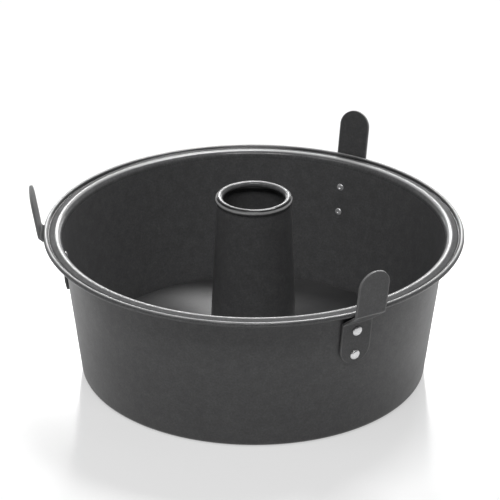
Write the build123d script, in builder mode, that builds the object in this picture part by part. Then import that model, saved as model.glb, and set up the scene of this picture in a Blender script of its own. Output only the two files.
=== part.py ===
from build123d import *
import math
import os

# Two-piece tube pan for angel food cake: an open ring with a rolled rim and three riveted feet,
# and a loose bottom that carries the centre tube and lifts out upwards.
# +Z is up, and the origin is the centre of the ring-shaped face that the pan stands on.
# Sizes are in millimetres, and every bend radius is measured on the inside of the bend.

# Sheet metal and clearances
sheet = 0.7
piece_fit = 0.05
seat_gap = 0.3
overrun = 5.0

# Side wall, which flares from the base to the rim, and the ledge turned in under it
base_radius = 109.25
top_radius = 121.1
pan_height = 95.8
base_corner_radius = 3.3
ledge_width = 12.0

# Rim: the wall bends out into a flange, dips, and is rolled round a wire
rim_overhang = 10.9
wire_radius = 0.85
rim_bend_radius = 3.15
flange_fall = 1.5
valley_radius = 0.65
lift_length = 0.9
lift_angle = 60.0
roll_angle = 300.0

# Loose bottom: a raised plate whose turned-down skirt stands on the ledge
floor_height = 9.6
floor_margin = 2.4
floor_bend_radius = 0.9

# Centre tube, clinched to the loose bottom and curled in at its mouth
tube_height = 118.0
tube_base_radius = 28.1
tube_top_radius = 23.3
curl_radius = 2.45
curl_overhang = 0.85
curl_angle = 290.0
flare_angle = 50.0
flare_length = 0.6
flare_bend_radius = 0.45
clinch_width = 5.0
clinch_bend_radius = 0.25
lock_bead_radius = 0.9

# Feet: bent straps riveted to the wall
foot_names = ("back_foot", "left_foot", "front_foot")
first_foot_azimuth = 60.0
foot_width = 20.8
foot_strap = 1.4
foot_wall_gap = 0.15
foot_rim_gap = 1.4
foot_bend_radius = 1.3
lower_bend_drop = 12.6
upper_bend_drop = 2.2
tab_length = 31.0
tab_lean = 9.5

# Rivets
rivet_names = ("upper_rivet", "lower_rivet")
rivet_drop = 18.8
rivet_spacing = 17.0
rivet_end_margin = 5.9
shank_radius = 2.0
head_radius = 3.25
head_height = 1.5
head_edge = 0.3
tail_radius = 2.4
tail_height = 0.8
dimple_radius = 0.8
dimple_depth = 0.6


def heading(angle):
    """Unit direction in a profile, with its angle counted from the outward direction."""
    return Vector(1, 0).rotate(Axis.Z, angle)


# Corners of the bent sheet's middle line in the wall, from the ledge to the rolled rim
half_sheet = sheet / 2
bead_radius = wire_radius + piece_fit + sheet
roll_radius = bead_radius - half_sheet
rim_radius = top_radius + rim_overhang
bead_middle = Vector(rim_radius - bead_radius, pan_height - bead_radius)
roll_start = bead_middle + heading(90 + lift_angle) * roll_radius
valley_corner = roll_start - heading(lift_angle) * lift_length
rim_corner = Vector(top_radius - half_sheet, valley_corner.Y + flange_fall)
base_corner = Vector(base_radius - half_sheet, half_sheet)
ledge_edge = base_corner - Vector(ledge_width, 0)

# The wall's lean, and its outside face as a line in a profile
wall_rise = rim_corner - base_corner
wall_lean = math.degrees(math.atan2(wall_rise.X, wall_rise.Y))
wall_out = heading(-wall_lean)
wall_down = heading(-90 - wall_lean)
wall_top = rim_corner + wall_out * half_sheet

# Thickness that a rivet holds together
grip = foot_strap + foot_wall_gap + sheet + piece_fit


def wall_point(distance, drop):
    """Profile point a distance outside the wall's face and a drop down the wall from its top."""
    return wall_top + wall_out * distance + wall_down * drop


def inner_wall_radius(height):
    """Radius of the wall's inside face at a height."""
    level_share = (height - base_corner.Y) / wall_rise.Y
    return base_corner.X + wall_rise.X * level_share - half_sheet


def radial_plane(azimuth):
    """Upright plane through the pan's axis: x runs outwards and y upwards."""
    outward = Vector(1, 0, 0).rotate(Axis.Z, azimuth)
    sideways = Vector(0, -1, 0).rotate(Axis.Z, azimuth)
    return Plane(origin=(0, 0, 0), x_dir=outward, z_dir=sideways)


def plane_on(profile, spot, direction):
    """Plane through a profile's point: x runs sideways off the profile and y along a direction in it."""
    origin = profile.from_local_coords(spot)
    along = profile.from_local_coords(spot + direction) - origin
    return Plane(origin=origin, x_dir=profile.z_dir, z_dir=profile.z_dir.cross(along))


def foot_azimuths():
    """Azimuth of each foot, evenly spaced round the pan."""
    return [first_foot_azimuth + number * 360 / len(foot_names) for number in range(len(foot_names))]


def rivet_drops():
    """How far down the wall the rivets of each foot sit."""
    return [rivet_drop + number * rivet_spacing for number in range(len(rivet_names))]


def rivet_face(azimuth, drop):
    """Plane on a strap's outer face, centred on a rivet."""
    spot = wall_point(foot_wall_gap + foot_strap, drop)
    return plane_on(radial_plane(azimuth), spot, wall_down)


def build_pan_ring():
    """Side wall with its ledge and rolled rim: one bent sheet, revolved, with the rivet holes."""
    with BuildPart() as ring:
        with BuildSketch(Plane.XZ):
            with BuildLine():
                FilletPolyline(
                    ledge_edge, base_corner, rim_corner, valley_corner, roll_start,
                    radius=(
                        base_corner_radius + half_sheet,
                        rim_bend_radius + half_sheet,
                        valley_radius + half_sheet,
                    ),
                )
                CenterArc(bead_middle, roll_radius, 90 + lift_angle, -roll_angle)
            trace(line_width=sheet)
        revolve(axis=Axis.Z)
        for azimuth in foot_azimuths():
            for drop in rivet_drops():
                with BuildSketch(rivet_face(azimuth, drop)):
                    Circle(shank_radius + piece_fit)
                extrude(amount=grip + overrun, both=True, mode=Mode.SUBTRACT)
    return ring.part


def build_rim_wire():
    """Stiffening wire inside the rolled rim."""
    with BuildPart() as wire:
        with BuildSketch(Plane.XZ):
            with Locations(bead_middle):
                Circle(wire_radius)
        revolve(axis=Axis.Z)
    return wire.part


def tube_middle_line():
    """Corners of the tube's middle line: clinched flange, foot, flare and start of the curl."""
    middle = Vector(tube_top_radius + curl_overhang - curl_radius, tube_height - curl_radius)
    curl_start = middle + heading(flare_angle - 90) * (curl_radius - half_sheet)
    flare = curl_start - heading(flare_angle) * flare_length
    foot = Vector(tube_base_radius - half_sheet, floor_height - sheet - piece_fit - half_sheet)
    flange = foot + Vector(clinch_width, 0)
    return flange, foot, flare, curl_start, middle


def build_center_tube():
    """Tapered tube with a curled mouth, a flange under the bottom plate and a lock bead over it."""
    flange, foot, flare, curl_start, middle = tube_middle_line()
    with BuildPart() as tube:
        with BuildSketch(Plane.XZ):
            with BuildLine():
                FilletPolyline(
                    flange, foot, flare, curl_start,
                    radius=(clinch_bend_radius + half_sheet, flare_bend_radius + half_sheet),
                )
                CenterArc(middle, curl_radius - half_sheet, flare_angle - 90, curl_angle)
            trace(line_width=sheet)
            with Locations((tube_base_radius - half_sheet, floor_height + piece_fit + lock_bead_radius)):
                Circle(lock_bead_radius)
        revolve(axis=Axis.Z)
    return tube.part


def build_bottom_plate():
    """Raised floor with a turned-down skirt and a hole that the tube passes through."""
    floor_level = floor_height - half_sheet
    hole_edge = Vector(tube_base_radius + clinch_bend_radius + piece_fit, floor_level)
    floor_corner = Vector(inner_wall_radius(floor_height) - floor_margin - half_sheet, floor_level)
    skirt_foot = Vector(base_radius - base_corner_radius - sheet - half_sheet, sheet + seat_gap)
    with BuildPart() as plate:
        with BuildSketch(Plane.XZ):
            with BuildLine():
                FilletPolyline(
                    hole_edge, floor_corner, skirt_foot,
                    radius=(floor_bend_radius + half_sheet,),
                )
            trace(line_width=sheet)
        revolve(axis=Axis.Z)
    return plate.part


def build_foot(azimuth):
    """Bent strap: a plate flat against the wall, a run out under the rim, and a leaning tab."""
    profile = radial_plane(azimuth)
    middle_distance = foot_wall_gap + foot_strap / 2
    plate_end = wall_point(middle_distance, rivet_drops()[-1] + rivet_end_margin)
    lower_bend = wall_point(middle_distance, lower_bend_drop)
    upper_bend = Vector(rim_radius + foot_rim_gap + foot_strap / 2, pan_height - upper_bend_drop)
    tab_up = heading(90 - tab_lean)
    tab_end = upper_bend + tab_up * tab_length
    with BuildPart() as foot:
        with BuildSketch(profile):
            with BuildLine():
                FilletPolyline(
                    plate_end, lower_bend, upper_bend, tab_end,
                    radius=foot_bend_radius + foot_strap / 2,
                )
            trace(line_width=foot_strap)
        extrude(amount=foot_width / 2, both=True)
        for end, direction in ((plate_end, wall_down), (tab_end, tab_up)):
            with BuildSketch(plane_on(profile, end - direction * (foot_width / 2), direction)):
                Rectangle(
                    foot_width + overrun, foot_width / 2 + overrun,
                    align=(Align.CENTER, Align.MIN),
                )
                Circle(foot_width / 2, mode=Mode.SUBTRACT)
            extrude(amount=foot_strap, both=True, mode=Mode.SUBTRACT)
        for drop in rivet_drops():
            with BuildSketch(rivet_face(azimuth, drop)):
                Circle(shank_radius + piece_fit)
            extrude(amount=foot_strap + overrun, both=True, mode=Mode.SUBTRACT)
    return foot.part


def build_rivet(azimuth, drop):
    """Rivet with a domed head outside and a small dimpled tail inside the pan."""
    face = rivet_face(azimuth, drop)
    section = Plane(origin=face.origin, x_dir=face.x_dir, z_dir=-face.y_dir)
    tail_end = -grip - tail_height
    with BuildPart() as rivet:
        with BuildSketch(section):
            with BuildLine():
                TangentArc(
                    (0, piece_fit + head_height), (head_radius, piece_fit + head_edge), tangent=(1, 0)
                )
                Polyline(
                    (head_radius, piece_fit + head_edge),
                    (head_radius, piece_fit),
                    (shank_radius, piece_fit),
                    (shank_radius, -grip),
                    (tail_radius, -grip),
                )
                TangentArc((dimple_radius, tail_end), (tail_radius, -grip), tangent=(1, 0))
                TangentArc((0, tail_end + dimple_depth), (dimple_radius, tail_end), tangent=(1, 0))
                Line((0, tail_end + dimple_depth), (0, piece_fit + head_height))
            make_face()
        revolve(axis=Axis(face.origin, face.z_dir))
    return rivet.part


def build_all():
    """Every piece of the pan by its name."""
    pieces = {
        "pan_ring": build_pan_ring(),
        "rim_wire": build_rim_wire(),
        "bottom_plate": build_bottom_plate(),
        "center_tube": build_center_tube(),
    }
    for foot_name, azimuth in zip(foot_names, foot_azimuths()):
        pieces[foot_name] = build_foot(azimuth)
        for rivet_name, drop in zip(rivet_names, rivet_drops()):
            pieces[f"{foot_name}_{rivet_name}"] = build_rivet(azimuth, drop)
    return pieces


os.makedirs("parts", exist_ok=True)
for name, piece in build_all().items():
    piece.label = name
    export_step(piece, f"parts/{name}.step")
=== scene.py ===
import math

import bmesh
import bpy
from bpy.props import FloatProperty, FloatVectorProperty, IntProperty, PointerProperty
from mathutils import Matrix, Vector


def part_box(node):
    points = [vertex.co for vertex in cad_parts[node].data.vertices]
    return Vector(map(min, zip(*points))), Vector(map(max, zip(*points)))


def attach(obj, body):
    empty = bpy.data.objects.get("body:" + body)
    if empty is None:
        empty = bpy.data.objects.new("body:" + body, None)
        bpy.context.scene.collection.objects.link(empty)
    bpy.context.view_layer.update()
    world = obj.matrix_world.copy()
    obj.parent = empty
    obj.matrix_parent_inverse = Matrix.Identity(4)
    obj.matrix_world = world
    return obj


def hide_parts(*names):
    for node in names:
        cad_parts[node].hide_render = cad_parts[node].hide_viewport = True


# Rebuilds the bent sheet pieces, feet and rivets of a two-piece tube pan as smooth meshes,
# gives them their non-stick coating, and sets up the stage. Lengths are in metres, +Z is up.

bl_info = {
    "name": "Tube pan",
    "version": (1, 0, 0),
    "blender": (4, 5, 0),
    "location": "3D View > Sidebar > Tube pan",
    "description": "Builds a coated two-piece tube pan over its packed CAD frame",
    "category": "Object",
}

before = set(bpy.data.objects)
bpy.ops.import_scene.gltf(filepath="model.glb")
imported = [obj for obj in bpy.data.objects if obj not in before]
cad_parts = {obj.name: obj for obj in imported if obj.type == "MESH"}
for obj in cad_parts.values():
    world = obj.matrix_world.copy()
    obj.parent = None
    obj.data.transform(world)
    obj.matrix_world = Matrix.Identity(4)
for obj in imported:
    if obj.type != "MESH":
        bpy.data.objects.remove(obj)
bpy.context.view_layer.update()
_, ring_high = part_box("pan_ring")
_, tube_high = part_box("center_tube")
_, floor_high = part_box("bottom_plate")
wire_low, wire_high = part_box("rim_wire")
foot_low, foot_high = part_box("left_foot")

mm = 0.001
foot_azimuths = {"back_foot": 60.0, "left_foot": 180.0, "front_foot": 300.0}


def length(name, description, default):
    """A length that a user may change, in metres."""
    return FloatProperty(name=name, description=description, default=default, unit="LENGTH", precision=5)


def angle(name, description, degrees):
    """An angle that a user may change."""
    return FloatProperty(name=name, description=description, default=math.radians(degrees), subtype="ANGLE")


def share(name, description, default):
    """A share from nothing to all."""
    return FloatProperty(name=name, description=description, default=default, min=0, max=1, subtype="FACTOR")


def colour(name, description, default):
    """A colour that a user may change."""
    return FloatVectorProperty(name=name, description=description, default=default, size=3, subtype="COLOR")


# Sizes

class SheetSizes(bpy.types.PropertyGroup):
    """Sizes of the pieces bent from sheet: the ring, the loose bottom and the centre tube."""

    sheet: length("Sheet", "Thickness of the steel sheet", 0.7 * mm)
    turn_steps: IntProperty(name="Turn steps", description="Steps round the pan's axis", default=288)
    bend_steps: IntProperty(name="Bend steps", description="Steps round each bend", default=7)
    roll_steps: IntProperty(name="Roll steps", description="Steps round the roll and the curl", default=40)
    bead_steps: IntProperty(name="Bead steps", description="Steps round the lock bead", default=16)

    rim_radius: length("Rim radius", "Outside radius of the rolled rim", ring_high.x)
    pan_height: length("Pan height", "Height of the rolled rim's top", ring_high.z)
    base_radius: length("Base radius", "Outside radius where the wall meets the base", 109.25 * mm)
    rim_overhang: length("Rim overhang", "How far the rim stands out past the wall", 10.9 * mm)
    base_bend: length("Base bend", "Inside radius of the bend at the base", 3.3 * mm)
    ledge_width: length("Ledge width", "Width of the ledge under the wall", 12.0 * mm)
    wire_radius: length("Wire radius", "Radius of the wire in the rim", (wire_high.z - wire_low.z) / 2)
    piece_fit: length("Piece fit", "Clearance between pieces that hold each other", 0.05 * mm)
    rim_bend: length("Rim bend", "Inside radius of the bend from wall to flange", 3.15 * mm)
    flange_fall: length("Flange fall", "How far the flange falls to its valley", 1.5 * mm)
    valley_bend: length("Valley bend", "Inside radius of the valley beside the roll", 0.65 * mm)
    lift: length("Lift", "Straight rise from the valley to the roll", 0.9 * mm)
    lift_angle: angle("Lift angle", "Slope of that rise", 60)
    roll_angle: angle("Roll angle", "How far the edge is rolled round the wire", 300)

    floor_height: length("Floor height", "Height of the loose bottom's floor", floor_high.z)
    floor_radius: length("Floor radius", "Outside radius of the loose bottom", floor_high.x)
    floor_bend: length("Floor bend", "Inside radius of the bend round the floor", 0.9 * mm)
    skirt_height: length("Skirt height", "Height of the skirt's foot", 1.0 * mm)
    skirt_inset: length("Skirt inset", "How far the skirt's middle stands inside the base", 4.35 * mm)

    tube_height: length("Tube height", "Height of the tube's curled mouth", tube_high.z)
    tube_base_radius: length("Tube base radius", "Outside radius of the tube at the floor", 28.1 * mm)
    tube_top_radius: length("Tube top radius", "Outside radius of the tube under its mouth", 23.3 * mm)
    curl_radius: length("Curl radius", "Outside radius of the curl at the mouth", 2.45 * mm)
    curl_overhang: length("Curl overhang", "How far the curl stands out past the tube", 0.85 * mm)
    curl_angle: angle("Curl angle", "How far the mouth is curled in", 290)
    flare_angle: angle("Flare angle", "Slope of the flare under the curl", 50)
    flare_length: length("Flare length", "Length of that flare", 0.6 * mm)
    flare_bend: length("Flare bend", "Inside radius of the bend under the flare", 0.45 * mm)
    clinch_radius: length("Clinch radius", "Outside radius of the flange under the floor", tube_high.x)
    clinch_bend: length("Clinch bend", "Inside radius of the bend into that flange", 0.25 * mm)
    lock_bead: length("Lock bead", "Radius of the bead that locks the tube to the floor", 0.9 * mm)


class FootSizes(bpy.types.PropertyGroup):
    """Sizes of the three strap feet and their rivets."""

    strap: length("Strap", "Thickness of the strap", 1.4 * mm)
    width: length("Width", "Width of the strap", foot_high.y - foot_low.y)
    wall_gap: length("Wall gap", "Gap between strap and wall", 0.15 * mm)
    rim_gap: length("Rim gap", "Gap between strap and rolled rim", 1.4 * mm)
    bend: length("Bend", "Inside radius of the strap's bends", 1.3 * mm)
    lower_bend_drop: length("Lower bend drop", "Lower bend, down the wall from its top", 12.6 * mm)
    upper_bend_drop: length("Upper bend drop", "Upper bend, below the top of the rim", 2.2 * mm)
    tab_length: length("Tab length", "Length of the tab over the upper bend", 31.0 * mm)
    tab_lean: angle("Tab lean", "Lean of the tab, outwards", 9.5)
    edge_round: length("Edge round", "Rounding of the strap's edges", 0.22 * mm)
    rows: IntProperty(name="Rows", description="Steps along the strap", default=190)
    columns: IntProperty(name="Columns", description="Steps across the strap", default=16)
    bend_steps: IntProperty(name="Bend steps", description="Steps round each bend of a strap", default=12)
    rivets: IntProperty(name="Rivets", description="Rivets on each foot", default=2)
    rivet_drop: length("Rivet drop", "Upper rivet, down the wall from its top", 18.8 * mm)
    rivet_spacing: length("Rivet spacing", "From one rivet to the next", 17.0 * mm)
    rivet_end_margin: length("Rivet end margin", "From the last rivet to the strap's end", 5.9 * mm)
    head_radius: length("Head radius", "Radius of the rivet's head", 3.25 * mm)
    head_height: length("Head height", "Height of the rivet's head", 1.5 * mm)
    head_edge: length("Head edge", "Straight edge of the head", 0.3 * mm)
    tail_radius: length("Tail radius", "Radius of the rivet's tail inside the pan", 2.4 * mm)
    tail_height: length("Tail height", "Height of that tail", 0.8 * mm)
    dimple_radius: length("Dimple radius", "Radius of the dimple in the tail", 0.8 * mm)
    dimple_depth: length("Dimple depth", "Depth of that dimple", 0.6 * mm)
    rivet_steps: IntProperty(name="Rivet steps", description="Steps round a rivet", default=48)
    dome_steps: IntProperty(name="Dome steps", description="Steps down the head's dome", default=10)
    tail_steps: IntProperty(name="Tail steps", description="Steps down the dimple and the tail", default=8)


class Finishes(bpy.types.PropertyGroup):
    """Colours and grain of the coating and the uncoated metal, and the painted highlights and painted shade
    on the coating.
    """

    coating: colour("Coating", "Colour of the non-stick coating", (0.108, 0.108, 0.11))
    foot_coating: colour("Foot coating", "Colour of the coating on the feet", (0.096, 0.096, 0.098))
    # Colour of the painted highlight lines on the rim and the tube's curl, and of the feet's scuffed edges
    # with their painted highlights
    wear_and_highlight_colour: colour("Worn edge", "Colour of the coating where an edge has rubbed", (0.4, 0.4, 0.4))
    rivet: colour("Rivet", "Colour of the aluminium rivets", (0.94, 0.94, 0.95))
    wire: colour("Wire", "Colour of the steel wire", (0.45, 0.45, 0.46))
    gloss: share("Gloss", "Roughness of the coating", 0.365)
    gloss_spread: share("Gloss spread", "How far that roughness varies from place to place", 0.035)
    rim_gloss: share("Rim gloss", "Roughness of the coating on the rim and the tube's mouth", 0.175)
    spun_sheen: share("Spun sheen", "How far the spun floor's shine is drawn into a fan", 0.95)
    # Painted shade: the loose bottom's coating is a darker copy of the same coating, so its floor reads
    # shaded
    floor_painted_shade: share("Floor shade", "Shade of the loose bottom's floor, from the coating's colour", 0.4)
    # Painted highlight lines: a wide one on the rim's crest, thin ones on the bead and the tube's curl; the
    # thin reach also sizes the painted shade line in the curl's groove
    highlight_reach: length("Rub reach", "How far the rim's rubbed crest reaches to each side", 1.8 * mm)
    thin_line_reach: length("Thin rub reach", "How far the other rubbed lines reach to each side", 1.0 * mm)
    # Painted shade: dark lines painted into the valley beside the roll and into the tube's curl
    crease_reach: length("Crease reach", "How far a dark crease reaches to each side", 2.0 * mm)
    painted_crease_shade: share("Crease shade", "Shade of a crease, from the coating's colour", 0.15)
    # On the feet the lighter edges are partly scuffed coating and partly painted highlights across the
    # strap's bends
    edge_wear_and_highlight: share("Edge wear", "How far the coating has worn off the feet's edges", 0.5)
    # Where the painted lines lie: a painted highlight on the rim's crest, painted highlights on top of and
    # outside the tube's curl, painted shade between them and inside the curl
    crest_out: share("Crest out", "Rubbed crest, outwards from the wall's corner, in rim bends", 0.77)
    crest_drop: share("Crest drop", "Rubbed crest, below the wall's corner, in rim bends", 0.18)
    mouth_turn: angle("Mouth turn", "Rubbed line on top of the tube's curl, up from outwards", 97)
    shoulder_turn: angle("Shoulder turn", "Rubbed line on the outside of the curl", 16)
    groove_turn: angle("Groove turn", "Dark line between the two", 52)
    throat_turn: angle("Throat turn", "Dark crease inside the curl", 215)
    mottle: share("Mottle", "How far the coating's shade varies from spot to spot", 0.24)
    blotch: length("Blotch", "Size of the coating's darker blotches", 6.0 * mm)
    cloud: length("Cloud", "Size of the coating's slow waves", 45 * mm)
    cloud_depth: length("Cloud depth", "Depth of those waves", 0.25 * mm)
    speck: length("Speck", "Size of the coating's specks of shade", 1.17 * mm)
    grain: length("Grain", "Size of the coating's pebbly grain", 0.9 * mm)
    grain_depth: length("Grain depth", "Depth of that grain", 0.012 * mm)


class StageSettings(bpy.types.PropertyGroup):
    """Camera, lamps and floor."""

    view_distance: length("View distance", "Camera's distance from the pan's axis", 1.5393)
    view_height: length("View height", "Camera's height above the table", 0.82003)
    view_azimuth: angle("View azimuth", "Camera's place round the pan, from straight in front", -0.95)
    view_yaw: angle("View yaw", "Turn of the camera away from the axis, to the left", 0.086)
    view_pitch: angle("View pitch", "Dip of the camera below the horizon", 25.674)
    view_roll: angle("View roll", "Roll of the camera, anticlockwise", 0.218)
    lens: FloatProperty(name="Lens", description="Focal length in millimetres", default=195.25)
    floor: colour("Floor", "Colour of the floor", (0.92, 0.92, 0.92))
    floor_size: length("Floor size", "Side of the floor", 12.0)
    glow: share("Glow", "Share of the floor's white that no shadow darkens", 0.5)
    bounce: share("Bounce", "How much of the floor's colour lights the pan from below", 0.55)
    lamp_distance: length("Lamp distance", "Distance of every lamp from the pan", 2.6)
    aim_height: length("Aim height", "Height above the table that the lamps are aimed at", 0.06)


# Shapes shared by the pieces

def heading(turn):
    """Unit direction in a profile, at an angle from the outward direction."""
    return Vector((math.cos(turn), math.sin(turn)))


def arc(middle, radius, start, turn, steps):
    """Points of an arc in a profile."""
    return [middle + heading(start + turn * step / steps) * radius for step in range(steps + 1)]


def wall_corners(sizes):
    """Corners of the wall's middle line, from the ledge to the start of the roll, and the roll's middle."""
    half_sheet = sizes.sheet / 2
    roll_outside = sizes.wire_radius + sizes.piece_fit + sizes.sheet
    roll_middle = Vector((sizes.rim_radius - roll_outside, sizes.pan_height - roll_outside))
    roll_start = roll_middle + heading(math.pi / 2 + sizes.lift_angle) * (roll_outside - half_sheet)
    valley = roll_start - heading(sizes.lift_angle) * sizes.lift
    rim = Vector((sizes.rim_radius - sizes.rim_overhang - half_sheet, valley.y + sizes.flange_fall))
    base = Vector((sizes.base_radius - half_sheet, half_sheet))
    ledge = base - Vector((sizes.ledge_width, 0))
    return ledge, base, rim, valley, roll_start, roll_middle


def wall_frame(sizes):
    """Top of the wall's outside face, the direction out of that face and the direction down it."""
    _, base, rim, _, _, _ = wall_corners(sizes)
    up = (rim - base).normalized()
    out = Vector((up.y, -up.x))
    return rim + out * (sizes.sheet / 2), out, -up


def profile_object(name, lines):
    """Object holding profile lines in the X-Z plane, each a list of (point, bend radius), closed or open."""
    mesh = bpy.data.meshes.new(name)
    points, edges, bends = [], [], []
    for line, closed in lines:
        first = len(points)
        points += [(point.x, 0, point.y) for point, _ in line]
        bends += [bend for _, bend in line]
        edges += [(first + step, first + step + 1) for step in range(len(line) - 1)]
        if closed:
            edges.append((len(points) - 1, first))
    mesh.from_pydata(points, edges, [])
    attribute = mesh.attributes.new("bend", "FLOAT", "POINT")
    attribute.data.foreach_set("value", bends)
    shape = bpy.data.objects.new(name, mesh)
    bpy.context.scene.collection.objects.link(shape)
    return shape


# Nodes

def fed(tree, socket, value):
    """Gives an input a value, or links another node's output to it."""
    if isinstance(value, bpy.types.NodeSocket):
        tree.links.new(value, socket)
    else:
        socket.default_value = value


def added(tree, kind, inputs=None, **settings):
    """Adds a node with its settings and inputs, and gives its first output."""
    node = tree.nodes.new(kind)
    for setting, value in settings.items():
        setattr(node, setting, value)
    for key, value in (inputs or {}).items():
        fed(tree, node.inputs[key], value)
    return node.outputs[0]


class TreeMaker:
    """Builds a node tree: adds nodes with their settings and inputs, and links them."""

    def __init__(self, name, inputs):
        self.tree = bpy.data.node_groups.new(name, "GeometryNodeTree")
        face = self.tree.interface
        face.new_socket(name="Geometry", in_out="INPUT", socket_type="NodeSocketGeometry")
        self.identifiers = {}
        for label, kind in inputs.items():
            socket = face.new_socket(name=label, in_out="INPUT", socket_type=kind)
            self.identifiers[label] = socket.identifier
        face.new_socket(name="Geometry", in_out="OUTPUT", socket_type="NodeSocketGeometry")
        self.given = self.tree.nodes.new("NodeGroupInput").outputs
        self.result = self.tree.nodes.new("NodeGroupOutput").inputs["Geometry"]

    def add(self, kind, inputs=None, **settings):
        """Adds a node and gives its first output."""
        return added(self.tree, kind, inputs, **settings)

    def math(self, operation, *values):
        """Adds a Math node."""
        return self.add("ShaderNodeMath", dict(enumerate(values)), operation=operation)

    def ramp(self, value, start, end):
        """A value that runs from 0 to 1 between two marks, and is clamped outside them."""
        return self.add("ShaderNodeMapRange", {"Value": value, "From Min": start, "From Max": end})

    def turned(self, profile, steps, reach):
        """Turns a profile in the X-Z plane round the Z axis."""
        circle = self.add("GeometryNodeCurvePrimitiveCircle", {"Resolution": steps, "Radius": reach})
        inwards = self.add("ShaderNodeCombineXYZ", {"X": self.math("MULTIPLY", reach, -1.0)})
        laid = self.add(
            "GeometryNodeTransform",
            {"Geometry": profile, "Translation": inwards, "Rotation": (math.pi / 2, 0, 0)},
        )
        return self.add("GeometryNodeCurveToMesh", {"Curve": circle, "Profile Curve": laid})

    def bent(self, line, steps):
        """Makes a line of edges a curve, and rounds each corner to the radius in its bend attribute."""
        curve = self.add("GeometryNodeMeshToCurve", {"Mesh": line})
        bend = self.add("GeometryNodeInputNamedAttribute", {"Name": "bend"}, data_type="FLOAT")
        return self.add(
            "GeometryNodeFilletCurve", {"Curve": curve, "Count": steps, "Radius": bend}, mode="POLY"
        )

    def finish(self, geometry):
        """Ends the tree: welds, shades smooth, realizes and sets the finish."""
        weld_reach = 0.002 * mm
        welded = self.add("GeometryNodeMergeByDistance", {"Geometry": geometry, "Distance": weld_reach})
        smooth = self.add("GeometryNodeSetShadeSmooth", {"Geometry": welded})
        real = self.add("GeometryNodeRealizeInstances", {"Geometry": smooth})
        coated = self.add("GeometryNodeSetMaterial", {"Geometry": real, "Material": self.given["Finish"]})
        self.tree.links.new(coated, self.result)
        return self


def turned_sheet_tree():
    """Rounds a sheet's middle line at its bends and turns it round the pan's axis."""
    maker = TreeMaker("Turned sheet", {
        "Turn steps": "NodeSocketInt",
        "Bend steps": "NodeSocketInt",
        "Reach": "NodeSocketFloat",
        "Finish": "NodeSocketMaterial",
    })
    given = maker.given
    line = maker.bent(given["Geometry"], given["Bend steps"])
    return maker.finish(maker.turned(line, given["Turn steps"], given["Reach"]))


def bent_strap_tree():
    """Bends a flat blank with full-round ends along a strap's middle line, at an azimuth."""
    maker = TreeMaker("Bent strap", {
        "Bend steps": "NodeSocketInt",
        "Width": "NodeSocketFloat",
        "Rows": "NodeSocketInt",
        "Columns": "NodeSocketInt",
        "Azimuth": "NodeSocketFloat",
        "Finish": "NodeSocketMaterial",
    })
    given = maker.given
    line = maker.bent(given["Geometry"], given["Bend steps"])
    line_length = maker.add("GeometryNodeCurveLength", {"Curve": line})
    blank = maker.add(
        "GeometryNodeMeshGrid",
        {"Size X": 1.0, "Size Y": 1.0, "Vertices X": given["Rows"], "Vertices Y": given["Columns"]},
    )
    place = maker.add("GeometryNodeInputPosition")
    split = maker.tree.nodes.new("ShaderNodeSeparateXYZ")
    maker.tree.links.new(place, split.inputs[0])
    along, across = split.outputs["X"], split.outputs["Y"]
    # The blank reaches from -0.5 to 0.5 both ways, and each full-round end takes this share of its rows
    end_share = 0.09
    quarter = math.pi / 2
    start_turn = maker.math("MULTIPLY", maker.ramp(along, -0.5, -0.5 + end_share), quarter)
    end_turn = maker.math("MULTIPLY", maker.ramp(along, 0.5 - end_share, 0.5), quarter)
    run = maker.ramp(along, -0.5 + end_share, 0.5 - end_share)
    radius = maker.math("DIVIDE", given["Width"], 2.0)
    straight = maker.math("SUBTRACT", line_length, given["Width"])
    start_part = maker.math("MULTIPLY", radius, maker.math("SUBTRACT", 1.0, maker.math("COSINE", start_turn)))
    run_part = maker.math("MULTIPLY", straight, run)
    end_part = maker.math("MULTIPLY", radius, maker.math("SINE", end_turn))
    distance = maker.math("ADD", maker.math("ADD", start_part, run_part), end_part)
    roundness = maker.math("MULTIPLY", maker.math("SINE", start_turn), maker.math("COSINE", end_turn))
    sideways = maker.math("MULTIPLY", maker.math("MULTIPLY", across, given["Width"]), roundness)
    sample = maker.tree.nodes.new("GeometryNodeSampleCurve")
    sample.mode = "LENGTH"
    maker.tree.links.new(line, sample.inputs["Curves"])
    maker.tree.links.new(distance, sample.inputs["Length"])
    aside = maker.add("ShaderNodeCombineXYZ", {"Y": sideways})
    spot = maker.add(
        "ShaderNodeVectorMath", {0: sample.outputs["Position"], 1: aside}, operation="ADD"
    )
    # The strap is marked along its sides, partly scuffed coating and partly painted highlight, and across its
    # bends where it is neither steep nor flat, as a painted highlight
    side_start, side_mark = 0.48, 0.7
    slope_start, slope_full = 0.62, 0.75
    steep_start, steep_full = 0.85, 0.97
    side_edge = maker.ramp(maker.math("ABSOLUTE", across), side_start, 0.5)
    side_edge = maker.math("MULTIPLY", side_edge, side_mark)
    rise = maker.add("ShaderNodeSeparateXYZ", {0: sample.outputs["Tangent"]}).node.outputs["Z"]
    steepness = maker.math("ABSOLUTE", rise)
    sloping = maker.ramp(steepness, slope_start, slope_full)
    not_steep = maker.ramp(steepness, steep_full, steep_start)
    bend_edge = maker.math("MINIMUM", sloping, not_steep)
    worn_and_lit = maker.math("MAXIMUM", side_edge, bend_edge)
    marked = maker.add(
        "GeometryNodeStoreNamedAttribute", {"Geometry": blank, "Name": "worn_and_lit_edge", "Value": worn_and_lit},
        data_type="FLOAT", domain="POINT",
    )
    bent = maker.add("GeometryNodeSetPosition", {"Geometry": marked, "Position": spot})
    turn = maker.add("ShaderNodeCombineXYZ", {"Z": given["Azimuth"]})
    placed = maker.add("GeometryNodeTransform", {"Geometry": bent, "Rotation": turn})
    return maker.finish(placed)


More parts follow.
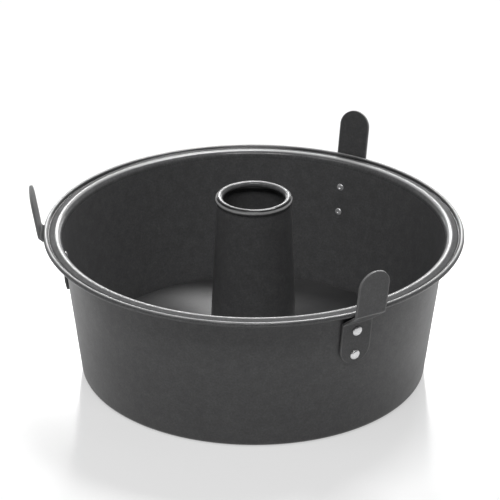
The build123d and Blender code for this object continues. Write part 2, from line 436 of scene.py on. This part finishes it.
def rivet_row_tree():
    """Turns a rivet's section into a rivet and sets a row of them down the wall, at an azimuth."""
    maker = TreeMaker("Rivet row", {
        "Turn steps": "NodeSocketInt",
        "Reach": "NodeSocketFloat",
        "Count": "NodeSocketInt",
        "First": "NodeSocketVector",
        "Spacing": "NodeSocketVector",
        "Lean": "NodeSocketFloat",
        "Azimuth": "NodeSocketFloat",
        "Finish": "NodeSocketMaterial",
    })
    given = maker.given
    section = maker.add("GeometryNodeMeshToCurve", {"Mesh": given["Geometry"]})
    rivet = maker.turned(section, given["Turn steps"], given["Reach"])
    points = maker.add(
        "GeometryNodeMeshLine",
        {"Count": given["Count"], "Start Location": given["First"], "Offset": given["Spacing"]},
    )
    lean = maker.add("ShaderNodeCombineXYZ", {"Y": given["Lean"]})
    row = maker.add(
        "GeometryNodeInstanceOnPoints", {"Points": points, "Instance": rivet, "Rotation": lean}
    )
    real = maker.add("GeometryNodeRealizeInstances", {"Geometry": row})
    turn = maker.add("ShaderNodeCombineXYZ", {"Z": given["Azimuth"]})
    placed = maker.add("GeometryNodeTransform", {"Geometry": real, "Rotation": turn})
    return maker.finish(placed)


def shaped(shape, maker, values, sheet=0.0, edge_round=0.0, crease=35.0):
    """Runs a tree on an object, thickens its sheet, and leaves a plain mesh."""
    nodes = shape.modifiers.new("Shape", "NODES")
    nodes.node_group = maker.tree
    for label, value in values.items():
        nodes[maker.identifiers[label]] = value
    if sheet:
        thick = shape.modifiers.new("Sheet", "SOLIDIFY")
        thick.thickness = sheet
        thick.offset = 0
        thick.use_even_offset = True
    if edge_round:
        rounding = shape.modifiers.new("Edges", "BEVEL")
        rounding.width = edge_round
        rounding.segments = 3
        rounding.limit_method = "ANGLE"
        rounding.angle_limit = math.radians(50)
    seen = shape.evaluated_get(bpy.context.evaluated_depsgraph_get())
    mesh = bpy.data.meshes.new_from_object(seen)
    shape.modifiers.clear()
    shape.data = mesh
    mesh.set_sharp_from_angle(angle=math.radians(crease))
    outward(mesh)
    return shape


def outward(mesh):
    """Points every face of a closed mesh outwards."""
    work = bmesh.new()
    work.from_mesh(mesh)
    bmesh.ops.recalc_face_normals(work, faces=work.faces)
    work.to_mesh(mesh)
    work.free()


# Finishes

# Most of a noise lies between these values
noise_low, noise_high = 0.3, 0.7


class FinishMaker:
    """Builds a material: adds shader nodes with their settings and inputs, and links them."""

    def __init__(self, name):
        self.material = bpy.data.materials.new(name)
        self.material.use_nodes = True
        self.tree = self.material.node_tree
        self.surface = self.tree.nodes["Principled BSDF"]
        self.place = self.add("ShaderNodeTexCoord").node.outputs["Object"]

    def add(self, kind, inputs=None, **settings):
        """Adds a node and gives its first output."""
        return added(self.tree, kind, inputs, **settings)

    def set(self, **inputs):
        """Sets inputs of the surface shader, with underscores for spaces."""
        for key, value in inputs.items():
            fed(self.tree, self.surface.inputs[key.replace("_", " ")], value)

    def noise(self, size, detail=2.0, roughness=0.5):
        """Noise whose features are about a size across."""
        inputs = {"Vector": self.place, "Scale": 1 / size, "Detail": detail, "Roughness": roughness}
        return self.add("ShaderNodeTexNoise", inputs)

    def spread(self, value, low, high, to_low, to_high):
        """Maps a range of a value to another, clamped."""
        return self.add("ShaderNodeMapRange", {
            "Value": value, "From Min": low, "From Max": high, "To Min": to_low, "To Max": to_high,
        })

    def mixed(self, share_value, first, second):
        """Mixes two colours."""
        node = self.tree.nodes.new("ShaderNodeMix")
        node.data_type = "RGBA"
        for key, value in (("Factor", share_value), ("A", first), ("B", second)):
            socket = next(entry for entry in node.inputs if entry.name == key and entry.enabled)
            fed(self.tree, socket, value)
        return next(entry for entry in node.outputs if entry.enabled)

    def bumps(self, layers):
        """Stacks bump layers of (height, depth)."""
        normal = None
        for height, depth in layers:
            inputs = {"Height": height, "Distance": depth, "Strength": 1.0}
            if normal:
                inputs["Normal"] = normal
            normal = self.add("ShaderNodeBump", inputs)
        self.set(Normal=normal)


def tinted(base, factor):
    """A colour made lighter or darker, with alpha."""
    return tuple(min(channel * factor, 1) for channel in base) + (1.0,)


def near_circles(maker, circles):
    """How near a spot is to level circles round the axis: 1 on one, 0 a reach away from all.

    A circle is given by its radius and height, and by its reach.
    """
    core_share = 0.3
    across = maker.add("ShaderNodeVectorMath", {0: maker.place, 1: (1, 1, 0)}, operation="MULTIPLY")
    radius = maker.add("ShaderNodeVectorMath", {0: across}, operation="LENGTH").node.outputs["Value"]
    height = maker.add("ShaderNodeSeparateXYZ", {0: maker.place}).node.outputs["Z"]
    spot = maker.add("ShaderNodeCombineXYZ", {"X": radius, "Y": height})
    nearness = 0.0
    for circle, reach in circles:
        gap = maker.add("ShaderNodeVectorMath", {0: spot, 1: (*circle, 0)}, operation="DISTANCE").node
        near = maker.spread(gap.outputs["Value"], reach, reach * core_share, 0, 1)
        nearness = maker.add("ShaderNodeMath", {0: near, 1: nearness}, operation="MAXIMUM")
    return nearness


def coating(name, base, finishes, polished_above=None, painted_highlights=(), painted_shade_creases=(), worn_and_lit_edges=False, spun=False):
    """Sprayed non-stick coating: pebbly grain and mottling, painted highlight lines, painted shade lines, and
    scuffed edges with painted highlights.
    """
    blotch_start, blotch_full, blotch_share = 0.35, 0.65, 0.5
    mark_start, mark_full = 0.2, 0.9
    maker = FinishMaker(name)
    pebble = maker.noise(finishes.grain, detail=3.0, roughness=0.6)
    speck = maker.noise(finishes.speck, detail=3.0, roughness=0.7)
    blotch = maker.noise(finishes.blotch, detail=4.0, roughness=0.65)
    cloud = maker.noise(finishes.cloud, detail=3.0)
    dark = tinted(base, 1 - finishes.mottle)
    light = tinted(base, 1 + finishes.mottle)
    darkest = tinted(base, 1 - 1.5 * finishes.mottle)
    wear_and_highlight_tint = tinted(finishes.wear_and_highlight_colour, 1)
    shade = maker.mixed(maker.spread(speck, noise_low, noise_high, 0, 1), dark, light)
    shade = maker.mixed(maker.spread(blotch, blotch_start, blotch_full, 0, blotch_share), shade, darkest)
    # Painted shade: darker coating along the given circles in hollows of the sheet
    if painted_shade_creases:
        shade = maker.mixed(near_circles(maker, painted_shade_creases), shade, tinted(base, finishes.painted_crease_shade))
    # Painted highlights: lighter coating along the given circles where the rim and the curl catch the light
    if painted_highlights:
        shade = maker.mixed(near_circles(maker, painted_highlights), shade, wear_and_highlight_tint)
    # Feet: lighter edges, partly scuffed coating and partly painted highlights across the bends
    if worn_and_lit_edges:
        edge = maker.add("ShaderNodeAttribute", attribute_name="worn_and_lit_edge").node.outputs["Fac"]
        wear_and_highlight_mask = maker.spread(edge, mark_start, mark_full, 0, finishes.edge_wear_and_highlight)
        shade = maker.mixed(wear_and_highlight_mask, shade, wear_and_highlight_tint)
    low_gloss, high_gloss = finishes.gloss - finishes.gloss_spread, finishes.gloss + finishes.gloss_spread
    gloss = maker.spread(cloud, noise_low, noise_high, low_gloss, high_gloss)
    if polished_above:
        height = maker.add("ShaderNodeSeparateXYZ", {0: maker.place}).node.outputs["Z"]
        drop = finishes.gloss - finishes.rim_gloss
        polish = maker.spread(height, polished_above - mm, polished_above, 0, drop)
        gloss = maker.add("ShaderNodeMath", {0: gloss, 1: polish}, operation="SUBTRACT")
    maker.set(Base_Color=shade, Roughness=gloss, Metallic=0.0, IOR=1.38)
    maker.bumps([(cloud, finishes.cloud_depth), (pebble, finishes.grain_depth)])
    if spun:
        around = maker.add("ShaderNodeTangent", direction_type="RADIAL", axis="Z")
        maker.set(Tangent=around, Anisotropic=finishes.spun_sheen, Anisotropic_Rotation=0.25, IOR=1.8)
    return maker.material


def rivet_metal(name, base):
    """Bright aluminium, tumbled to a soft sheen with tiny dents."""
    dent_size, dent_depth = 1.6 * mm, 0.2 * mm
    scratch_size, scratch_depth = 0.25 * mm, 0.004 * mm
    maker = FinishMaker(name)
    dent = maker.noise(dent_size, detail=2.0)
    scratch = maker.noise(scratch_size, detail=2.0, roughness=0.7)
    shade = maker.mixed(scratch, tinted(base, 0.85), tinted(base, 1.0))
    gloss = maker.spread(scratch, noise_low, noise_high, 0.14, 0.28)
    maker.set(Base_Color=shade, Metallic=0.6, Roughness=gloss)
    maker.bumps([(dent, dent_depth), (scratch, scratch_depth)])
    return maker.material


def wire_metal(name, base):
    """Drawn steel wire with fine lines and a little tarnish."""
    tarnish_size = 3 * mm
    line_size, line_depth = 0.4 * mm, 0.01 * mm
    maker = FinishMaker(name)
    tarnish = maker.noise(tarnish_size, detail=3.0)
    shade = maker.mixed(tarnish, tinted(base, 0.7), tinted(base, 1.0))
    gloss = maker.spread(tarnish, noise_low, noise_high, 0.3, 0.5)
    maker.set(Base_Color=shade, Metallic=1.0, Roughness=gloss)
    maker.bumps([(maker.noise(line_size), line_depth)])
    return maker.material


def white_table(stage):
    """White gloss table top. The camera and reflections see it lit from inside, so its shadows are pale."""
    maker = FinishMaker("white_table")
    haze_size = 0.4
    haze = maker.noise(haze_size, detail=1.0)
    rays = maker.add("ShaderNodeLightPath").node.outputs
    seen = rays["Is Camera Ray"]
    for ray in ("Is Glossy Ray", "Is Transmission Ray"):
        seen = maker.add("ShaderNodeMath", {0: seen, 1: rays[ray]}, operation="MAXIMUM")
    maker.set(
        Base_Color=maker.mixed(seen, tinted(stage.floor, stage.bounce), tinted(stage.floor, 1 - stage.glow)),
        Roughness=maker.spread(haze, noise_low, noise_high, 0.1, 0.14),
        IOR=1.5,
        Emission_Color=tinted((1, 1, 1), 1),
        Emission_Strength=maker.add("ShaderNodeMath", {0: seen, 1: stage.glow}, operation="MULTIPLY"),
    )
    return maker.material


# Operators

def sheet_values(sizes, finish):
    """Inputs of the turned sheet tree."""
    return {
        "Turn steps": sizes.turn_steps, "Bend steps": sizes.bend_steps,
        "Reach": sizes.rim_radius, "Finish": finish,
    }


def seated(piece, body, slot, *nodes):
    """Puts a finished piece on its body, in the place of its CAD nodes."""
    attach(piece, body)
    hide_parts(*nodes)


class TUBEPAN_OT_ring(bpy.types.Operator):
    """Build the ring: ledge, flared wall and rolled rim in one sheet"""

    bl_idname = "tubepan.ring"
    bl_label = "Pan ring"

    def execute(self, context):
        sizes = context.scene.tubepan_sheet
        finishes = context.scene.tubepan_finishes
        half_sheet = sizes.sheet / 2
        ledge, base, rim, valley, roll_start, roll_middle = wall_corners(sizes)
        roll_radius = sizes.wire_radius + sizes.piece_fit + half_sheet
        roll_begin = math.pi / 2 + sizes.lift_angle
        roll = arc(roll_middle, roll_radius, roll_begin, -sizes.roll_angle, sizes.roll_steps)
        line = [
            (ledge, 0), (base, sizes.base_bend + half_sheet), (rim, sizes.rim_bend + half_sheet),
            (valley, sizes.valley_bend + half_sheet), (roll_start, 0),
        ]
        line += [(point, 0) for point in roll[1:]]
        piece = profile_object("coated_ring", [(line, False)])
        rim_foot = sizes.pan_height - sizes.rim_bend - 2 * sizes.sheet
        # Painted highlights on the rim's crest and on top of the bead, and painted shade in the valley beside
        # the roll
        crest = rim + Vector((finishes.crest_out, -finishes.crest_drop)) * sizes.rim_bend
        bead_top = roll_middle + Vector((0, roll_radius))
        finish = coating(
            "ring_coating", finishes.coating, finishes, polished_above=rim_foot,
            painted_highlights=((crest, finishes.highlight_reach), (bead_top, finishes.thin_line_reach)),
            painted_shade_creases=((valley, finishes.crease_reach),),
        )
        shaped(piece, turned_sheet_tree(), sheet_values(sizes, finish), sheet=sizes.sheet)
        seated(piece, "pan", "ring_coating", "pan_ring")
        return {"FINISHED"}


class TUBEPAN_OT_bottom(bpy.types.Operator):
    """Build the loose bottom: raised floor with a turned-down skirt"""

    bl_idname = "tubepan.bottom"
    bl_label = "Loose bottom"

    def execute(self, context):
        sizes = context.scene.tubepan_sheet
        finishes = context.scene.tubepan_finishes
        half_sheet = sizes.sheet / 2
        level = sizes.floor_height - half_sheet
        hole = Vector((sizes.tube_base_radius + sizes.clinch_bend + sizes.piece_fit, level))
        edge = Vector((sizes.floor_radius - half_sheet, level))
        skirt = Vector((sizes.base_radius - sizes.skirt_inset, sizes.skirt_height))
        line = [(hole, 0), (edge, sizes.floor_bend + half_sheet), (skirt, 0)]
        piece = profile_object("coated_bottom", [(line, False)])
        # Painted shade: the floor's coating is a darker copy of the ring's coating
        base = [channel * finishes.floor_painted_shade for channel in finishes.coating]
        finish = coating("bottom_coating", base, finishes, spun=True)
        shaped(piece, turned_sheet_tree(), sheet_values(sizes, finish), sheet=sizes.sheet)
        seated(piece, "insert", "insert_coating", "bottom_plate")
        return {"FINISHED"}


class TUBEPAN_OT_tube(bpy.types.Operator):
    """Build the centre tube: clinched flange, lock bead, taper and curled mouth"""

    bl_idname = "tubepan.tube"
    bl_label = "Centre tube"

    def execute(self, context):
        sizes = context.scene.tubepan_sheet
        finishes = context.scene.tubepan_finishes
        half_sheet = sizes.sheet / 2
        curl_line = sizes.curl_radius - half_sheet
        curl_middle = Vector((
            sizes.tube_top_radius + sizes.curl_overhang - sizes.curl_radius,
            sizes.tube_height - sizes.curl_radius,
        ))
        curl_begin = sizes.flare_angle - math.pi / 2
        curl = arc(curl_middle, curl_line, curl_begin, sizes.curl_angle, sizes.roll_steps)
        flare = curl[0] - heading(sizes.flare_angle) * sizes.flare_length
        under_floor = sizes.floor_height - sizes.sheet - sizes.piece_fit - half_sheet
        foot = Vector((sizes.tube_base_radius - half_sheet, under_floor))
        flange = Vector((sizes.clinch_radius, under_floor))
        line = [
            (flange, 0), (foot, sizes.clinch_bend + half_sheet), (flare, sizes.flare_bend + half_sheet),
        ]
        line += [(point, 0) for point in curl]
        bead_middle = Vector((foot.x, sizes.floor_height + sizes.piece_fit + sizes.lock_bead))
        bead = arc(bead_middle, sizes.lock_bead - half_sheet, 0, 2 * math.pi, sizes.bead_steps)
        bead_line = [(point, 0) for point in bead[1:]]
        piece = profile_object("coated_tube", [(line, False), (bead_line, True)])
        mouth_foot = sizes.tube_height - 2 * sizes.curl_radius
        # Painted highlights on top of and outside the curl, painted shade in the groove between them and
        # inside the curl
        mouth = curl_middle + heading(finishes.mouth_turn) * sizes.curl_radius
        shoulder = curl_middle + heading(finishes.shoulder_turn) * sizes.curl_radius
        groove = curl_middle + heading(finishes.groove_turn) * sizes.curl_radius
        throat = curl_middle + heading(finishes.throat_turn) * sizes.curl_radius
        finish = coating(
            "tube_coating", finishes.coating, finishes, polished_above=mouth_foot,
            painted_highlights=((mouth, finishes.thin_line_reach), (shoulder, finishes.thin_line_reach)),
            painted_shade_creases=((throat, finishes.crease_reach), (groove, finishes.thin_line_reach)),
        )
        shaped(piece, turned_sheet_tree(), sheet_values(sizes, finish), sheet=sizes.sheet)
        seated(piece, "insert", "insert_coating", "center_tube")
        return {"FINISHED"}


class TUBEPAN_OT_feet(bpy.types.Operator):
    """Build the three bent strap feet"""

    bl_idname = "tubepan.feet"
    bl_label = "Feet"

    def execute(self, context):
        sizes = context.scene.tubepan_sheet
        feet = context.scene.tubepan_feet
        finishes = context.scene.tubepan_finishes
        top, out, down = wall_frame(sizes)
        middle = feet.wall_gap + feet.strap / 2
        last_rivet = feet.rivet_drop + feet.rivet_spacing * (feet.rivets - 1)
        plate_end = top + out * middle + down * (last_rivet + feet.rivet_end_margin)
        lower_bend = top + out * middle + down * feet.lower_bend_drop
        upper_bend = Vector((
            sizes.rim_radius + feet.rim_gap + feet.strap / 2, sizes.pan_height - feet.upper_bend_drop,
        ))
        tab_end = upper_bend + heading(math.pi / 2 - feet.tab_lean) * feet.tab_length
        bend = feet.bend + feet.strap / 2
        line = [(plate_end, 0), (lower_bend, bend), (upper_bend, bend), (tab_end, 0)]
        # The feet's lighter edges: partly scuffed coating, partly painted highlights across the bends
        finish = coating("foot_coating", finishes.foot_coating, finishes, worn_and_lit_edges=True)
        tree = bent_strap_tree()
        for foot, azimuth in foot_azimuths.items():
            piece = profile_object(f"coated_{foot}", [(line, False)])
            values = {
                "Bend steps": feet.bend_steps, "Width": feet.width,
                "Rows": feet.rows, "Columns": feet.columns,
                "Azimuth": math.radians(azimuth), "Finish": finish,
            }
            shaped(piece, tree, values, sheet=feet.strap, edge_round=feet.edge_round)
            seated(piece, "pan", "foot_coating", foot)
        return {"FINISHED"}


def dome(radius, top, edge, steps):
    """Points down a flattened dome, from beside its middle to its edge."""
    turns = [math.pi / 2 * step / steps for step in range(1, steps + 1)]
    return [Vector((radius * math.sin(turn), edge + (top - edge) * math.cos(turn))) for turn in turns]


def tail(feet, grip, end, steps):
    """Points of a rivet's tail, from beside its dimple's middle to just short of the wall."""
    turns = [math.pi / 2 * step / steps for step in range(1, steps + 1)]
    shoulder = feet.tail_radius - feet.dimple_radius
    dimple = [
        Vector((feet.dimple_radius * math.sin(turn), end + feet.dimple_depth * math.cos(turn) ** 2))
        for turn in turns
    ]
    rise = [
        Vector((feet.dimple_radius + shoulder * math.sin(turn), -grip + (end + grip) * math.cos(turn)))
        for turn in turns[:-1]
    ]
    return dimple + rise


class TUBEPAN_OT_rivets(bpy.types.Operator):
    """Build the rivets: domed heads outside, dimpled tails inside"""

    bl_idname = "tubepan.rivets"
    bl_label = "Rivets"

    def execute(self, context):
        sizes = context.scene.tubepan_sheet
        feet = context.scene.tubepan_feet
        finishes = context.scene.tubepan_finishes
        top, out, down = wall_frame(sizes)
        face = feet.wall_gap + feet.strap
        grip = face + sizes.sheet + sizes.piece_fit
        first = top + out * face + down * feet.rivet_drop
        spacing = down * feet.rivet_spacing
        dome_top = sizes.piece_fit + feet.head_height
        edge_top = sizes.piece_fit + feet.head_edge
        tail_end = -grip - feet.tail_height
        section = [Vector((0, dome_top))]
        section += dome(feet.head_radius, dome_top, edge_top, feet.dome_steps)
        section += [Vector((feet.head_radius, sizes.piece_fit)), Vector((feet.tail_radius, sizes.piece_fit))]
        section += [Vector((feet.tail_radius, -grip))]
        section += list(reversed(tail(feet, grip, tail_end, feet.tail_steps)))
        section += [Vector((0, tail_end + feet.dimple_depth))]
        line = [(point, 0) for point in section]
        finish = rivet_metal("rivet_aluminium", finishes.rivet)
        tree = rivet_row_tree()
        for foot, azimuth in foot_azimuths.items():
            piece = profile_object(f"{foot}_rivets", [(line, False)])
            values = {
                "Turn steps": feet.rivet_steps, "Reach": feet.head_radius, "Count": feet.rivets,
                "First": (first.x, 0, first.y), "Spacing": (spacing.x, 0, spacing.y),
                "Lean": math.atan2(out.x, out.y), "Azimuth": math.radians(azimuth), "Finish": finish,
            }
            shaped(piece, tree, values, crease=50.0)
            seated(piece, "pan", "rivet_aluminium", f"{foot}_upper_rivet", f"{foot}_lower_rivet")
        return {"FINISHED"}


class TUBEPAN_OT_wire(bpy.types.Operator):
    """Give the wire inside the rolled rim its drawn steel finish"""

    bl_idname = "tubepan.wire"
    bl_label = "Rim wire"

    def execute(self, context):
        finishes = context.scene.tubepan_finishes
        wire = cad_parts["rim_wire"]
        wire.data.materials.clear()
        wire.data.materials.append(wire_metal("wire_steel", finishes.wire))
        return {"FINISHED"}


class TUBEPAN_OT_stage(bpy.types.Operator):
    """Set up the white table, the soft lamps and the camera"""

    bl_idname = "tubepan.stage"
    bl_label = "Stage"

    def execute(self, context):
        stage = context.scene.tubepan_stage
        add_table(stage)
        add_lamps(stage)
        add_world()
        add_camera(stage)
        context.scene.view_settings.view_transform = "Standard"
        return {"FINISHED"}


def add_table(stage):
    """White table top under the pan."""
    half = stage.floor_size / 2
    mesh = bpy.data.meshes.new("table_top")
    corners = [(-half, -half, 0), (half, -half, 0), (half, half, 0), (-half, half, 0)]
    mesh.from_pydata(corners, [], [(0, 1, 2, 3)])
    mesh.materials.append(white_table(stage))
    table = bpy.data.objects.new("table_top", mesh)
    bpy.context.scene.collection.objects.link(table)


def add_lamp(stage, name, azimuth, height, width, depth, brightness):
    """Soft lamp aimed at the pan, from an azimuth and an angle above the table, both in degrees."""
    lamp = bpy.data.lights.new(name, "AREA")
    lamp.shape = "RECTANGLE"
    lamp.size = width
    lamp.size_y = depth
    lamp.energy = brightness * math.pi * width * depth
    holder = bpy.data.objects.new(name, lamp)
    aim = Matrix.Translation((0, 0, stage.aim_height))
    around = Matrix.Rotation(math.radians(azimuth + 90), 4, "Z")
    tilt = Matrix.Rotation(math.radians(90 - height), 4, "X")
    holder.matrix_world = aim @ around @ tilt @ Matrix.Translation((0, 0, stage.lamp_distance))
    bpy.context.scene.collection.objects.link(holder)


def add_lamps(stage):
    """A key lamp high behind on the right, three low ones behind, and three soft ones high in front."""
    lamps = {
        "key_lamp": dict(azimuth=70, height=62, width=1.0, depth=0.55, brightness=27.0),
        "back_lamp": dict(azimuth=90, height=25, width=0.9, depth=0.22, brightness=14.0),
        "right_strip": dict(azimuth=68, height=12, width=0.8, depth=0.55, brightness=2.5),
        "left_strip": dict(azimuth=112, height=11, width=0.8, depth=0.55, brightness=2.5),
        "front_lamp": dict(azimuth=-94, height=58, width=1.3, depth=0.7, brightness=9.0),
        "left_lamp": dict(azimuth=-150, height=54, width=0.9, depth=0.8, brightness=3.2),
        "right_lamp": dict(azimuth=-30, height=54, width=0.9, depth=0.8, brightness=1.1),
    }
    for name, settings in lamps.items():
        add_lamp(stage, name, **settings)


def add_world():
    """Pale backdrop low behind the pan, dim above it and darker on the camera's side of the room."""
    world = bpy.data.worlds.new("white_room")
    world.use_nodes = True
    nodes, links = world.node_tree.nodes, world.node_tree.links
    background = nodes["Background"]
    background.inputs["Color"].default_value = (1, 1, 1, 1)
    split = nodes.new("ShaderNodeSeparateXYZ")
    links.new(nodes.new("ShaderNodeTexCoord").outputs["Generated"], split.inputs[0])
    # How bright the room is by height, and from the camera's side of it to the far side
    spreads = {
        "Z": {"From Min": 0.16, "From Max": 0.34, "To Min": 0.55, "To Max": 0.22},
        "Y": {"From Min": -0.5, "From Max": 0.5, "To Min": 0.2, "To Max": 1.0},
    }
    strength = nodes.new("ShaderNodeMath")
    strength.operation = "MULTIPLY"
    for place, (axis, limits) in enumerate(spreads.items()):
        spread = nodes.new("ShaderNodeMapRange")
        links.new(split.outputs[axis], spread.inputs["Value"])
        for key, value in limits.items():
            spread.inputs[key].default_value = value
        links.new(spread.outputs[0], strength.inputs[place])
    links.new(strength.outputs[0], background.inputs["Strength"])
    bpy.context.scene.world = world


def add_camera(stage):
    """Camera at the photograph's angle."""
    camera = bpy.data.cameras.new("camera")
    camera.lens = stage.lens
    camera.sensor_width = 36.0
    camera.sensor_fit = "HORIZONTAL"
    camera.clip_end = 50.0
    holder = bpy.data.objects.new("camera", camera)
    around = Matrix.Rotation(stage.view_azimuth, 4, "Z")
    place = Matrix.Translation((0, -stage.view_distance, stage.view_height))
    yaw = Matrix.Rotation(stage.view_yaw, 4, "Z")
    pitch = Matrix.Rotation(math.pi / 2 - stage.view_pitch, 4, "X")
    roll = Matrix.Rotation(stage.view_roll, 4, "Z")
    holder.matrix_world = around @ place @ yaw @ pitch @ roll
    bpy.context.scene.collection.objects.link(holder)
    bpy.context.scene.camera = holder


class TUBEPAN_PT_panel(bpy.types.Panel):
    """Steps that build the pan, in order"""

    bl_label = "Tube pan"
    bl_idname = "TUBEPAN_PT_panel"
    bl_space_type = "VIEW_3D"
    bl_region_type = "UI"
    bl_category = "Tube pan"

    def draw(self, context):
        for step in steps:
            self.layout.operator(step.bl_idname)


groups = {
    "tubepan_sheet": SheetSizes, "tubepan_feet": FootSizes,
    "tubepan_finishes": Finishes, "tubepan_stage": StageSettings,
}
steps = (
    TUBEPAN_OT_ring, TUBEPAN_OT_bottom, TUBEPAN_OT_tube, TUBEPAN_OT_feet,
    TUBEPAN_OT_rivets, TUBEPAN_OT_wire, TUBEPAN_OT_stage,
)


def register():
    """Registers the property groups, the operators and the panel."""
    for name, group in groups.items():
        bpy.utils.register_class(group)
        setattr(bpy.types.Scene, name, PointerProperty(type=group))
    for kind in (*steps, TUBEPAN_PT_panel):
        bpy.utils.register_class(kind)


def unregister():
    """Takes them out again."""
    for kind in reversed((*steps, TUBEPAN_PT_panel)):
        bpy.utils.unregister_class(kind)
    for name, group in groups.items():
        delattr(bpy.types.Scene, name)
        bpy.utils.unregister_class(group)


def main():
    """Builds everything."""
    register()
    for step in steps:
        group, name = step.bl_idname.split(".")
        getattr(getattr(bpy.ops, group), name)()


if __name__ == "__main__":
    main()
